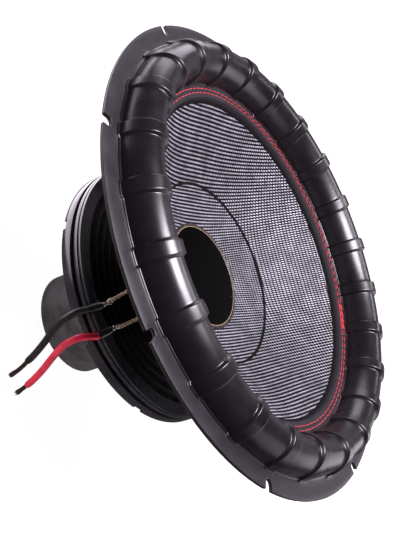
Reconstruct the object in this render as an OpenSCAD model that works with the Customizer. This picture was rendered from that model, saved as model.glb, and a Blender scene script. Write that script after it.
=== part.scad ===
// Drop-in cone assembly of a large car subwoofer: surround, cone, voice coil and spider pack.
// It stands on the rear end of its voice coil, with +Z along the coil axis towards the cone's mouth.

/* [Frame size] */
// Outside diameter of the surround's mounting landing
rim_d = 464; // [456:1:470]
// Height of the landing's front face above the coil's rear end
rim_front_z = 235; // [230:1:240]

/* [Surround] */
// Inner radius of the flat outer landing, at the foot of the roll
roll_outer_r = 212.5; // [211:0.5:214]
// Outer radius of the flat inner landing, at the roll's other foot
roll_inner_r = 174.5; // [174:0.5:176]
// Height of the roll's crest above the outer landing
roll_h = 27.3; // [24:0.1:30]
// Wall thickness of the roll
roll_wall = 4; // [3:0.5:5]
// Height that each rib stands proud of the roll
rib_proud = 3; // [2:0.5:3.5]
// Number of ribs across the roll
rib_count = 24; // [16:8:24]
// Angle that one rib covers, in degrees
rib_angle = 4.8; // [3:0.2:6]
// Direction of the first rib, in degrees from +X
rib_phase = 6.5; // [0:0.5:14]
// Thickness of the outer landing
landing_t = 2.2; // [1.8:0.1:2.6]
// Number of open bolt notches in the rim
notch_count = 8; // [4:4:8]
// Radius of a bolt notch
notch_r = 4.75; // [3:0.25:5]
// Distance of a notch's centre from the coil axis
notch_centre_r = 227; // [226:0.5:228]
// Thickness of the gasket ring behind the landing
gasket_t = 1.2; // [1:0.1:1.5]

/* [Cone] */
// Radius of the cone's mouth, where it turns into the flat lip
cone_mouth_r = 157.5; // [156:0.5:159]
// How far the inner landing's edge reaches down the short slope at the cone's mouth
skirt_reach = 1.5; // [1:0.25:2.5]
// Radius of the crease where the cone's slope changes
crease_r = 92; // [85:1:98]
// Height of the crease above the coil's rear end
crease_z = 180.5; // [179:0.5:182]
// Height of the cone's face at its neck
neck_z = 167.4; // [166:0.2:168]
// Thickness of the woven skin, measured along the axis
skin_t = 0.7; // [0.5:0.1:0.9]
// Thickness of the pressed backing cone, measured along the axis
backing_t = 2.2; // [1.6:0.1:2.6]

/* [Voice coil] */
// Inside diameter of the coil former
former_bore_d = 101.6; // [101:0.1:102]
// Wall thickness of the former
former_t = 0.6; // [0.4:0.1:0.7]
// Length of the former
former_l = 168.8; // [168.6:0.1:169.4]
// Thickness of the two winding layers together
winding_t = 1; // [0.8:0.1:1.2]
// Length of the winding
winding_l = 76; // [60:1:80]
// Thickness of the sleeve wrapped round the winding
wrap_t = 0.6; // [0.6:0.1:0.8]
// Length of the wrapped sleeve
wrap_l = 96; // [90:1:97]

/* [Spider pack] */
// Outside diameter of the spider rings
pack_d = 261.8; // [258:0.2:264]
// Inside diameter of the spider rings
pack_bore_d = 236; // [234:1:238]
// Height of the pack's rear face above the coil's rear end
pack_rear_z = 99.7; // [99:0.1:100.5]
// Height of the wide rear ring
rear_ring_h = 10.3; // [9:0.1:11]
// Height of the recessed spacer ring
spacer_h = 3; // [2.5:0.1:3.5]
// Height of the middle ring
middle_ring_h = 4.2; // [3.5:0.1:5]
// Height of the front ring
front_ring_h = 2.9; // [2:0.1:3.5]
// Thickness of the spiders' cloth
spider_t = 1.2; // [0.8:0.1:1.4]
// Height of a spider's corrugations above and below its rim
corrugation_h = 3.3; // [2:0.1:3.4]
// Number of corrugations on each spider
corrugation_count = 6; // [4:1:7]

/* [Leads] */
// Outside diameter of each lead's insulation
lead_d = 6.5; // [5:0.1:6.6]
// Diameter of the stripped copper strands
bare_d = 4.2; // [3:0.1:4.4]
// Diameter of the sleeves over the joints
sleeve_d = 7.2; // [6.8:0.1:7.4]
// Diameter of a twisted tinsel lead
tinsel_d = 3; // [2:0.1:3.4]

/* [Hidden] */
$fn = 96;
eps = 0.01;
ROLL_STEPS = 12;

rim_r = rim_d / 2;
landing_bottom_z = rim_front_z - landing_t;
gasket_bottom_z = landing_bottom_z - gasket_t;
gasket_inner_r = roll_outer_r + 1;
gasket_outer_r = rim_r - 0.4;
rib_foot = 2.2;
landing_inner_r = roll_outer_r + rib_foot + 0.3;

// The inner landing lies a little below the outer one, on the cone's flat lip.
lip_z = rim_front_z - 6;
inner_landing_top_z = rim_front_z - 2.7;
lip_start_r = cone_mouth_r + 3.5;
lip_outer_r = roll_inner_r - 0.5;
inner_landing_outer_r = roll_inner_r - 0.3;
mouth_z = lip_z - 3;
cone_slope = (mouth_z - crease_z) / (cone_mouth_r - crease_r);
mouth_slope = (lip_z - mouth_z) / (lip_start_r - cone_mouth_r);
skirt_tip_r = lip_start_r - skirt_reach;
skirt_tip_z = lip_z - skirt_reach * mouth_slope;
skirt_edge = 1;
skirt_glue_w = 2.6;
skirt_glue_foot_r = skirt_tip_r - skirt_glue_w;
stitch_radii = [164.8, 169.6];
stitch_w = 1;
stitch_proud = 0.5;

roll_mid_r = (roll_outer_r + roll_inner_r) / 2;
roll_half_w = (roll_outer_r - roll_inner_r) / 2;

former_bore_r = former_bore_d / 2;
former_r = former_bore_r + former_t;
winding_r = former_r + winding_t;
winding_mid_r = former_r + winding_t / 2;
winding_start_z = 2;
winding_end_z = winding_start_z + winding_l;
coil_r = winding_r + wrap_t;
collar_end_z = neck_z - 5;

pack_r = pack_d / 2;
pack_bore_r = pack_bore_d / 2;
rebate_r = pack_bore_r + 6.5;
rebate_h = 2.5;
rear_spider_z = pack_rear_z + rebate_h - spider_t;
middle_spider_z = pack_rear_z + rear_ring_h;
spacer_z = middle_spider_z + spider_t;
spacer_r = pack_r - 3.4;
middle_ring_z = spacer_z + spacer_h;
front_spider_z = middle_ring_z + middle_ring_h;
front_spider_r = pack_r - 1.4;
front_ring_z = front_spider_z + spider_t;
pack_front_z = front_ring_z + front_ring_h;
spider_neck_end_r = winding_r + 6;
corrugation_end_r = pack_bore_r - 2;

// The leads leave the pack through two slots, over a recess in the rear ring.
slot_w = 7.8;
slot_bottom_z = 114.6;
slot_start_r = pack_bore_r + 2.2;
recess_start = 264.6;
recess_end = 279.3;
recess_h = 7.8;
recess_depth = 6;
bite_phase = 46.6;
bite_angle = 4.6;
bite_h = 3;
bite_depth = 5;

terminal_angles = [254.4, 282.8];
terminal_span = 7;
terminal_z = 148;
terminal_h = 14;
terminal_t = 1.2;

solder_r = 2.5;
sleeve_start_z = 126.2;
sleeve_start = slot_start_r + 1;

black_route = [
    [-8.5, -133, 119.5], [-9.5, -138, 117], [-9.5, -143, 113], [-8.5, -147, 107.5],
    [-7, -149.5, 101], [-4.5, -150, 94], [-1, -149.5, 86], [3.5, -148, 77],
    [7.5, -145.5, 67], [11, -142.5, 57], [14, -139, 47], [16.5, -135.5, 37]
];
black_bare_route = [[16.5, -135.5, 37], [19.5, -131.5, 26], [22, -128, 15], [24.2, -124.2, 1.2]];
red_route = [
    [17, -132, 119.5], [15, -138, 117], [13, -143, 113.5], [12, -147, 107.5],
    [12.5, -149.5, 101], [14, -150, 93.5], [17, -149.5, 85], [20.5, -148, 76],
    [24.5, -145.5, 66], [28.5, -142.5, 55.5], [32, -139.5, 45], [35, -136, 34.5], [37.5, -132.5, 24]
];
red_bare_route = [[37.5, -132.5, 24], [39.5, -129, 14], [42, -125, 1.2]];
black_tinsel_route = [
    [-7.4, -116.3, 128.9], [-9, -110, 133], [-11, -100, 140], [-12.5, -85, 146],
    [-14, -68, 151], [-14.5, -52.4, 156]
];
red_tinsel_route = [
    [15, -115.7, 128.9], [16, -110, 131.5], [15.5, -100, 136.5], [15, -90, 141],
    [14, -70, 149], [12.1, -52.7, 156]
];

// Points on a half ellipse over the roll, from the outer foot to the inner foot.
function arch(half_w, h, steps) = [
    for (i = [0 : steps])
        let (a = 180 * i / steps)
        [roll_mid_r + half_w * cos(a), rim_front_z + h * sin(a)]
];

function reversed(list) = [for (i = [len(list) - 1 : -1 : 0]) list[i]];

function unit(v) = v / norm(v);

// Direction of a route at one of its points.
function heading(route, i) = unit(
    route[min(i + 1, len(route) - 1)] - route[max(i - 1, 0)]
);

// A ring of points square to the route.
function route_ring(route, i, r, sides) =
    let (along = heading(route, i))
    let (side = unit(cross(along, [1, 0, 0])))
    let (up = cross(along, side))
    [for (k = [0 : sides - 1]) route[i] + r * (cos(360 * k / sides) * side + sin(360 * k / sides) * up)];

// A round tube swept along a route.
module swept(route, d, sides) {
    rings = len(route);
    points = [for (i = [0 : rings - 1]) each route_ring(route, i, d / 2, sides)];
    walls = [
        for (i = [0 : rings - 2])
            for (k = [0 : sides - 1])
                let (n = (k + 1) % sides)
                [i * sides + k, i * sides + n, (i + 1) * sides + n, (i + 1) * sides + k]
    ];
    first_cap = [for (k = [sides - 1 : -1 : 0]) k];
    last_cap = [for (k = [0 : sides - 1]) (rings - 1) * sides + k];
    polyhedron(points, concat([first_cap], walls, [last_cap]), convexity = 4);
}

module ring(outer_r, inner_r, bottom, height) {
    translate([0, 0, bottom])
        difference() {
            cylinder(h = height, r = outer_r, $fn = 180);
            translate([0, 0, -1])
                cylinder(h = height + 2, r = inner_r, $fn = 180);
        }
}

module ring_sector(outer_r, inner_r, bottom, height, start, span) {
    rotate([0, 0, start])
        rotate_extrude(angle = span, $fn = 180)
            translate([inner_r, bottom])
                square([outer_r - inner_r, height]);
}

module bolt_notches(bottom, height) {
    for (k = [0 : notch_count - 1])
        rotate([0, 0, rib_phase + 360 * k / notch_count])
            translate([0, 0, bottom - 1]) {
                translate([notch_centre_r, 0, 0])
                    cylinder(h = height + 2, r = notch_r, $fn = 32);
                translate([notch_centre_r, -notch_r, 0])
                    cube([rim_r, 2 * notch_r, height + 2]);
            }
}

module surround_outer_landing() color([0.15, 0.15, 0.16]) {
    difference() {
        ring(rim_r, landing_inner_r, landing_bottom_z, landing_t);
        bolt_notches(landing_bottom_z, landing_t);
    }
}

module rim_gasket() color([0.22, 0.17, 0.14]) {
    difference() {
        ring(gasket_outer_r, gasket_inner_r, gasket_bottom_z, gasket_t);
        bolt_notches(gasket_bottom_z, gasket_t);
    }
}

// The roll's wall, with a short flange that the ribs' outer feet stand on and an inner foot beside the cone's lip.
module roll_section() {
    outer = arch(roll_half_w, roll_h, ROLL_STEPS);
    inner = arch(roll_half_w - roll_wall, roll_h - roll_wall, ROLL_STEPS);
    polygon(concat(
        outer,
        [[roll_inner_r, lip_z], [roll_inner_r + roll_wall, lip_z]],
        reversed(inner),
        [[roll_outer_r - roll_wall, landing_bottom_z], [landing_inner_r, landing_bottom_z]],
        [[landing_inner_r, rim_front_z]]
    ));
}

module rib_section() {
    outer = arch(roll_half_w + rib_foot, roll_h + rib_proud, ROLL_STEPS);
    inner = arch(roll_half_w - 1, roll_h - 1, ROLL_STEPS);
    polygon(concat(
        outer,
        [[roll_inner_r - rib_foot, inner_landing_top_z], [roll_inner_r + 1, inner_landing_top_z]],
        reversed(inner)
    ));
}

module surround_roll() color([0.12, 0.12, 0.13]) {
    union() {
        rotate_extrude($fn = 180)
            roll_section();
        for (k = [0 : rib_count - 1])
            rotate([0, 0, rib_phase + 360 * k / rib_count - rib_angle / 2])
                rotate_extrude(angle = rib_angle, $fn = 180)
                    rib_section();
    }
}

// A flat ring on the cone's lip, whose inner edge slopes down to the cone's mouth.
module surround_inner_landing() color([0.17, 0.17, 0.18])
    rotate_extrude($fn = 180)
        polygon([
            [skirt_tip_r, skirt_tip_z], [lip_start_r, lip_z],
            [inner_landing_outer_r, lip_z], [inner_landing_outer_r, inner_landing_top_z],
            [lip_start_r, inner_landing_top_z], [skirt_tip_r, skirt_tip_z + skirt_edge]
        ]);

// Glue in the corner between the landing's inner edge and the cone's face.
module landing_glue_bead() color([0.05, 0.05, 0.05])
    rotate_extrude($fn = 180)
        polygon([
            [skirt_tip_r, skirt_tip_z], [skirt_tip_r, skirt_tip_z + skirt_edge],
            [skirt_glue_foot_r, mouth_z - (cone_mouth_r - skirt_glue_foot_r) * cone_slope],
            [cone_mouth_r, mouth_z]
        ]);

module stitch_row(r) {
    ring(r + stitch_w / 2, r - stitch_w / 2, inner_landing_top_z, stitch_proud);
}

module stitch_row_inner() color([0.7, 0.12, 0.13])
    stitch_row(stitch_radii[0]);

module stitch_row_outer() color([0.7, 0.12, 0.13])
    stitch_row(stitch_radii[1]);

// Front face of the cone, from its neck to the edge of its lip, moved down by a depth.
function cone_line(depth) = [
    [former_r, neck_z - depth], [crease_r, crease_z - depth], [cone_mouth_r, mouth_z - depth],
    [lip_start_r, lip_z - depth], [lip_outer_r, lip_z - depth]
];

module woven_skin() color([0.62, 0.61, 0.64])
    rotate_extrude($fn = 180)
        polygon(concat(cone_line(0), reversed(cone_line(skin_t))));

module cone_backing() color([0.08, 0.08, 0.08])
    rotate_extrude($fn = 180)
        polygon(concat(cone_line(skin_t), reversed(cone_line(skin_t + backing_t))));

module neck_glue_front() color([0.06, 0.05, 0.05]) {
    bead_w = 3;
    slope = (crease_z - neck_z) / (crease_r - former_r);
    rotate_extrude($fn = 120)
        polygon([[former_r, neck_z], [former_r + bead_w, neck_z + bead_w * slope], [former_r, neck_z + 0.9]]);
}

module neck_glue_rear() color([0.06, 0.05, 0.05]) {
    bead_w = 4;
    slope = (crease_z - neck_z) / (crease_r - former_r);
    back_z = neck_z - skin_t - backing_t;
    rotate_extrude($fn = 120)
        polygon([
            [former_r, back_z], [former_r, collar_end_z], [winding_r, collar_end_z],
            [former_r + bead_w, back_z + bead_w * slope]
        ]);
}

module coil_former() color([0.78, 0.68, 0.5])
    ring(former_r, former_bore_r, 0, former_l);

module winding_inner_layer() color([0.72, 0.4, 0.22])
    ring(winding_mid_r, former_r, winding_start_z, winding_l);

module winding_outer_layer() color([0.72, 0.4, 0.22])
    ring(winding_r, winding_mid_r, winding_start_z, winding_l);

module coil_wrap() color([0.14, 0.14, 0.15])
    ring(coil_r, winding_r, 0, wrap_l);

module former_collar() color([0.1, 0.1, 0.1])
    ring(winding_r, former_r, winding_end_z, collar_end_z - winding_end_z);

module spider_glue(spider_z) {
    rotate_extrude($fn = 120)
        translate([winding_r, spider_z + spider_t])
            polygon([[0, 0], [3, 0], [0, 2.4]]);
}

module spider_glue_rear() color([0.07, 0.06, 0.06])
    spider_glue(rear_spider_z);

module spider_glue_middle() color([0.07, 0.06, 0.06])
    spider_glue(middle_spider_z);

module spider_glue_front() color([0.07, 0.06, 0.06])
    spider_glue(front_spider_z);

module tinsel_terminal(angle) {
    ring_sector(winding_r + terminal_t, winding_r, terminal_z, terminal_h, angle - terminal_span / 2, terminal_span);
}

module tinsel_terminal_black() color([0.7, 0.45, 0.3])
    tinsel_terminal(terminal_angles[0]);

module tinsel_terminal_red() color([0.7, 0.45, 0.3])
    tinsel_terminal(terminal_angles[1]);

// The two radial channels that the leads leave through, open to the front and the outside.
module lead_slots() {
    for (exit = [black_route[0], red_route[0]])
        rotate([0, 0, atan2(exit.y, exit.x)])
            translate([slot_start_r, -slot_w / 2, slot_bottom_z])
                cube([pack_r, slot_w, pack_front_z - slot_bottom_z + 1]);
}

module rear_ring() color([0.2, 0.19, 0.21]) {
    difference() {
        ring(pack_r, pack_bore_r, pack_rear_z, rear_ring_h);
        ring(rebate_r, pack_bore_r - 1, pack_rear_z - 1, rebate_h + 1);
        ring_sector(
            pack_r + 2, pack_r - recess_depth, pack_rear_z - 1, recess_h + 1,
            recess_start, recess_end - recess_start
        );
        for (k = [0 : 3])
            ring_sector(
                pack_r + 2, pack_r - bite_depth, pack_rear_z - 1, bite_h + 1,
                bite_phase + 90 * k - bite_angle / 2, bite_angle
            );
    }
}

module spacer_ring() color([0.05, 0.05, 0.05])
    ring(spacer_r, pack_bore_r, spacer_z, spacer_h);

module middle_ring() color([0.2, 0.19, 0.21]) {
    difference() {
        ring(pack_r, pack_bore_r, middle_ring_z, middle_ring_h);
        lead_slots();
    }
}

module front_ring() color([0.2, 0.19, 0.21]) {
    difference() {
        ring(pack_r, pack_bore_r, front_ring_z, front_ring_h);
        lead_slots();
    }
}

// Upper line of a corrugated spider, from its neck to its rim.
function spider_line(z) = concat(
    [[winding_r, z], [spider_neck_end_r, z]],
    [
        for (i = [1 : 2 * corrugation_count - 1])
            let (r = spider_neck_end_r + (corrugation_end_r - spider_neck_end_r) * i / (2 * corrugation_count))
            [r, z + (i % 2 == 0 ? -corrugation_h : corrugation_h)]
    ],
    [[corrugation_end_r, z]]
);

module spider(z, outer_r) {
    rotate_extrude($fn = 120)
        polygon(concat(
            spider_line(z + spider_t), [[outer_r, z + spider_t], [outer_r, z]], reversed(spider_line(z))
        ));
}

module spider_rear() color([0.07, 0.07, 0.07])
    spider(rear_spider_z, rebate_r - 0.2);

module spider_middle() color([0.07, 0.07, 0.07])
    spider(middle_spider_z, spacer_r);

module spider_front() color([0.07, 0.07, 0.07]) {
    difference() {
        spider(front_spider_z, front_spider_r);
        lead_slots();
    }
}

module tinsel_lead_black() color([0.55, 0.38, 0.27])
    swept(black_tinsel_route, tinsel_d, 8);

module tinsel_lead_red() color([0.55, 0.38, 0.27])
    swept(red_tinsel_route, tinsel_d, 8);

// Inner end of the sleeve whose outer end is at a lead's exit.
function sleeve_inner_end(exit) =
    let (k = sleeve_start / norm([exit.x, exit.y]))
    [k * exit.x, k * exit.y, sleeve_start_z];

// A blob of solder just beyond a sleeve's inner end.
module solder_joint(exit) {
    inner = sleeve_inner_end(exit);
    translate(inner + (solder_r + eps) * unit(inner - exit))
        sphere(r = solder_r, $fn = 32);
}

module solder_joint_black() color([0.66, 0.62, 0.58])
    solder_joint(black_route[0]);

module solder_joint_red() color([0.66, 0.62, 0.58])
    solder_joint(red_route[0]);

module lead_sleeve(exit) {
    inner = sleeve_inner_end(exit);
    v = exit - inner;
    translate(inner)
        rotate([0, acos(v.z / norm(v)), atan2(v.y, v.x)])
            cylinder(h = norm(v), d = sleeve_d, $fn = 32);
}

module lead_sleeve_black() color([0.04, 0.04, 0.04])
    lead_sleeve(black_route[0]);

module lead_sleeve_red() color([0.04, 0.04, 0.04])
    lead_sleeve(red_route[0]);

module lead_black() color([0.1, 0.1, 0.1])
    swept(black_route, lead_d, 10);

module lead_red() color([0.75, 0.08, 0.15])
    swept(red_route, lead_d, 10);

module bare_end_black() color([0.75, 0.62, 0.52])
    swept(black_bare_route, bare_d, 8);

module bare_end_red() color([0.75, 0.62, 0.52])
    swept(red_bare_route, bare_d, 8);

surround_outer_landing();
surround_roll();
rim_gasket();
surround_inner_landing();
landing_glue_bead();
stitch_row_inner();
stitch_row_outer();
woven_skin();
cone_backing();
neck_glue_front();
neck_glue_rear();
coil_former();
winding_inner_layer();
winding_outer_layer();
coil_wrap();
former_collar();
spider_glue_rear();
spider_glue_middle();
spider_glue_front();
tinsel_terminal_black();
tinsel_terminal_red();
rear_ring();
spacer_ring();
middle_ring();
front_ring();
spider_rear();
spider_middle();
spider_front();
tinsel_lead_black();
tinsel_lead_red();
solder_joint_black();
solder_joint_red();
lead_sleeve_black();
lead_sleeve_red();
lead_black();
lead_red();
bare_end_black();
bare_end_red();
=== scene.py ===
"""Cone assembly of a large car subwoofer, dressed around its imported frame."""
import math
import random

import bmesh
import bpy
from mathutils import Matrix, Vector


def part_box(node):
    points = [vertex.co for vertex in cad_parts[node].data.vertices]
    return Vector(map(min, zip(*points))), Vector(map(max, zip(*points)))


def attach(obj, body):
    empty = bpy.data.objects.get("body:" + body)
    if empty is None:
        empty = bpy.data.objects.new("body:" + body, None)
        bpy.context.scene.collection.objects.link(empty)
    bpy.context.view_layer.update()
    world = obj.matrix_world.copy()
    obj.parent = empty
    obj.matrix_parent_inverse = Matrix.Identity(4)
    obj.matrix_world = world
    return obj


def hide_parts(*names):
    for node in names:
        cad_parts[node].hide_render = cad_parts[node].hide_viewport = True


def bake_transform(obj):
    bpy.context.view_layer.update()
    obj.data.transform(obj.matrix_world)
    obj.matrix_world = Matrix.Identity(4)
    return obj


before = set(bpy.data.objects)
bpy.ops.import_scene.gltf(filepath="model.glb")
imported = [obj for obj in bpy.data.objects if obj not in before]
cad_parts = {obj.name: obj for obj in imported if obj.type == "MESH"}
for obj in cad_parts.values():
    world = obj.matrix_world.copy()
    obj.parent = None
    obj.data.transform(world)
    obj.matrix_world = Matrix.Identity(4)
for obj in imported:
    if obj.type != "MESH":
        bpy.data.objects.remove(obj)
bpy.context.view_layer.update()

MM = 0.001


def bottom(node):
    return round(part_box(node)[0].z / MM, 2)


def top(node):
    return round(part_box(node)[1].z / MM, 2)


def reach(node):
    """Outer radius of a round CAD node, in millimetres."""
    return round(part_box(node)[1].x / MM, 1)


# Sizes in millimetres, from the frame where a node's box gives them.
RIM_R = reach("surround_outer_landing")
RIM_TOP = top("surround_outer_landing")
RIM_BOTTOM = bottom("surround_outer_landing")
INNER_TOP = top("surround_inner_landing")
LIP_Z = top("woven_skin")
CONE_MOUTH_R = 157.5
MOUTH_Z = LIP_Z - 3
LIP_START_R = CONE_MOUTH_R + 3.5
SKIRT_TIP_R = LIP_START_R - 1.5
SKIRT_TIP_Z = bottom("surround_inner_landing")
SKIRT_EDGE = 1.0
SKIRT_GLUE_W = 2.6
ROLL_MID_R = 193.5
ROLL_HALF_W = 19.0
ROLL_WALL = 4.0
RIB_PROUD = 3.0
ROLL_H = top("surround_roll") - RIM_TOP - RIB_PROUD
RIB_FOOT = 2.2
RIB_COUNT = 24
RIB_PITCH = 360 / RIB_COUNT
RIB_PHASE = 6.5
RIB_HALF = 2.4
RIB_WALL_ANGLE = 60.0
RIB_FILLET = 1.2
NOTCH_EVERY = 3
NOTCH_R = 4.75
NOTCH_CENTRE_R = 227.0
UPSTAND_W = 1.2
UPSTAND_H = 1.5

CREASE_R = 92.0
CREASE_Z = 180.5
FORMER_R = reach("coil_former")
FORMER_BORE_R = 50.8
NECK_Z = 167.4
SKIN_T = 0.7
CLOTH_START_R = FORMER_R + 0.6
CLOTH_END_R = CONE_MOUTH_R + 0.4
STITCH_RADII = {"stitch_row_inner": 165.0, "stitch_row_outer": 169.4}
STITCH_COUNT = 133
SEAM_OVERLAP = (51.5, 61.5)
THREAD_R = 0.5

WINDING_R = reach("winding_outer_layer")
COIL_R = reach("coil_wrap")
PACK_R = reach("rear_ring")
PACK_BORE_R = 118.0
SPIDER_T = 1.2
SPIDER_NECK_END_R = WINDING_R + 6
CORRUGATION_END_R = PACK_BORE_R - 2
CORRUGATION_H = 3.3
CORRUGATION_COUNT = 6
SPIDER_OUTER_R = {"spider_rear": 124.2, "spider_middle": reach("spacer_ring"), "spider_front": 129.4}
SPIDER_SECTORS = 12
RECESS_ANGLES = (264.6, 279.3)
RECESS_H = 7.8
RECESS_DEPTH = 6.0
BITE_COUNT = 4
BITE_PHASE = 46.6
BITE_HALF = 2.3
BITE_H = 3.0
BITE_DEPTH = 5.0
SLOT_W = 7.8
SLOT_START_R = PACK_BORE_R + 2.2

LEAD_D = 6.5
SLEEVE_D = 7.2
SLEEVE_START_R = SLOT_START_R + 1
SLEEVE_START_Z = 126.2
STRAND_R = 0.42
WIRE_D = 0.5

# The leads' routes, as in the CAD source.
BLACK_ROUTE = [
    (-8.5, -133, 119.5), (-9.5, -138, 117), (-9.5, -143, 113), (-8.5, -147, 107.5),
    (-7, -149.5, 101), (-4.5, -150, 94), (-1, -149.5, 86), (3.5, -148, 77),
    (7.5, -145.5, 67), (11, -142.5, 57), (14, -139, 47), (16.5, -135.5, 37),
]
BLACK_BARE_ROUTE = [(16.5, -135.5, 37), (19.5, -131.5, 26), (22, -128, 15), (24.2, -124.2, 1.2)]
RED_ROUTE = [
    (17, -132, 119.5), (15, -138, 117), (13, -143, 113.5), (12, -147, 107.5),
    (12.5, -149.5, 101), (14, -150, 93.5), (17, -149.5, 85), (20.5, -148, 76),
    (24.5, -145.5, 66), (28.5, -142.5, 55.5), (32, -139.5, 45), (35, -136, 34.5), (37.5, -132.5, 24),
]
RED_BARE_ROUTE = [(37.5, -132.5, 24), (39.5, -129, 14), (42, -125, 1.2)]
BLACK_TINSEL_ROUTE = [
    (-7.4, -116.3, 128.9), (-9, -110, 133), (-11, -100, 140), (-12.5, -85, 146),
    (-14, -68, 151), (-14.5, -52.4, 156),
]
RED_TINSEL_ROUTE = [
    (15, -115.7, 128.9), (16, -110, 131.5), (15.5, -100, 136.5), (15, -90, 141),
    (14, -70, 149), (12.1, -52.7, 156),
]

# The weave: the silver dots' spacing, the turn of their rows and how far the yarns rise.
DOT_PITCH = 3.15
DOT_ROW_TURN = -12.0
# The cloth is pulled along and across its rows in three lobes: share of the radius and angle.
PULL_ALONG = (0.054, 36)
PULL_ACROSS = (0.08, 128)
NECK_GATHER = 22.0
SILVER_RISE = 0.42
SILVER_SUNK = 0.16
BLACK_RISE = 0.26


# ---------------------------------------------------------------- mesh helpers

def ease(t):
    """0 before 0, 1 after 1, and a smooth rise between."""
    t = min(max(t, 0.0), 1.0)
    return t * t * (3 - 2 * t)


def mix(a, b, t):
    return a + (b - a) * t


def polar(angle, r, z):
    a = math.radians(angle)
    return (r * math.cos(a), r * math.sin(a), z)


def make_object(name, points, faces, materials, sharp=38, indices=None, clean=True):
    """A smooth-shaded mesh object from points in millimetres. Edges over the sharp angle stay crisp."""
    mesh = bpy.data.meshes.new(name)
    mesh.from_pydata([(x * MM, y * MM, z * MM) for x, y, z in points], [], faces)
    for material in materials:
        mesh.materials.append(material)
    if indices:
        mesh.polygons.foreach_set("material_index", indices)
    if clean:
        bm = bmesh.new()
        bm.from_mesh(mesh)
        bmesh.ops.remove_doubles(bm, verts=bm.verts, dist=0.0005 * MM)
        bmesh.ops.recalc_face_normals(bm, faces=bm.faces)
        bm.to_mesh(mesh)
        bm.free()
    mesh.shade_smooth()
    mesh.set_sharp_from_angle(angle=math.radians(sharp))
    ob = bpy.data.objects.new(name, mesh)
    bpy.context.scene.collection.objects.link(ob)
    return ob


def sweep_columns(name, columns, materials, whole_turn=False, index_of=None, sharp=38):
    """A closed solid from sections round the axis: each column is (angle, loop of (r, z))."""
    count = len(columns[0][1])
    points = [polar(angle, r, z) for angle, loop in columns for r, z in loop]
    faces = []
    indices = []
    spans = len(columns) if whole_turn else len(columns) - 1
    for c in range(spans):
        here = c * count
        there = (c + 1) % len(columns) * count
        for k in range(count):
            n = (k + 1) % count
            faces.append((here + k, here + n, there + n, there + k))
            indices.append(index_of(k) if index_of else 0)
    if not whole_turn:
        last = (len(columns) - 1) * count
        faces.append(tuple(range(count)))
        faces.append(tuple(last + k for k in reversed(range(count))))
        indices += [0, 0]
    return make_object(name, points, faces, materials, sharp, indices)


def lathe(name, loop, materials, steps=144, index_of=None):
    """A closed loop of (r, z) turned once round the axis."""
    columns = [(360 * s / steps, loop) for s in range(steps)]
    return sweep_columns(name, columns, materials, whole_turn=True, index_of=index_of)


def rounded_rect(r0, r1, z0, z1, edge, steps=3):
    """A rectangle in (r, z) with rounded corners, as a loop."""
    corners = [(r1 - edge, z1 - edge, 0), (r0 + edge, z1 - edge, 90), (r0 + edge, z0 + edge, 180),
               (r1 - edge, z0 + edge, 270)]
    loop = []
    for r, z, start in corners:
        for s in range(steps + 1):
            a = math.radians(start + 90 * s / steps)
            loop.append((r + edge * math.cos(a), z + edge * math.sin(a)))
    return loop


def smooth_path(route, steps):
    """Points on a Catmull-Rom curve through a route, steps to each stretch."""
    pts = [Vector(p) for p in route]
    pts = [2 * pts[0] - pts[1]] + pts + [2 * pts[-1] - pts[-2]]
    path = []
    for i in range(1, len(pts) - 2):
        a, b, c, d = pts[i - 1:i + 3]
        for s in range(steps):
            t = s / steps
            path.append(0.5 * (2 * b + (c - a) * t + (2 * a - 5 * b + 4 * c - d) * t ** 2
                               + (3 * b - a - 3 * c + d) * t ** 3))
    return path + [pts[-2]]


def path_frames(path):
    """(point, side, up) along a path, without twist."""
    frames = []
    side = None
    for i, p in enumerate(path):
        along = (path[min(i + 1, len(path) - 1)] - path[max(i - 1, 0)]).normalized()
        if side is None:
            side = along.cross(Vector((1, 0, 0))).normalized()
        side = (side - along * side.dot(along)).normalized()
        frames.append((p, side, along.cross(side)))
    return frames


def tube_mesh(path, radius, sides):
    """Points and faces of a capped tube. radius is a function of the share of the way along."""
    points = []
    faces = []
    frames = path_frames(path)
    last = len(frames) - 1
    for i, (p, side, up) in enumerate(frames):
        r = radius(i / last)
        for k in range(sides):
            a = 2 * math.pi * k / sides
            points.append(tuple(p + r * (math.cos(a) * side + math.sin(a) * up)))
    for i in range(last):
        for k in range(sides):
            n = (k + 1) % sides
            faces.append((i * sides + k, i * sides + n, (i + 1) * sides + n, (i + 1) * sides + k))
    faces.append(tuple(reversed(range(sides))))
    faces.append(tuple(last * sides + k for k in range(sides)))
    return points, faces


def tubes(name, paths, radius, sides, materials):
    """One object of several tubes."""
    points = []
    faces = []
    for path in paths:
        more, joined = tube_mesh(path, radius, sides)
        faces += [tuple(i + len(points) for i in face) for face in joined]
        points += more
    return make_object(name, points, faces, materials, sharp=60)


def stand_for(ob, body, *nodes):
    """ob replaces these nodes, which it hides, and rides on a body if one is given."""
    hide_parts(*nodes)
    if body:
        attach(ob, body)
    return ob


# ------------------------------------------------------------------- materials

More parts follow.
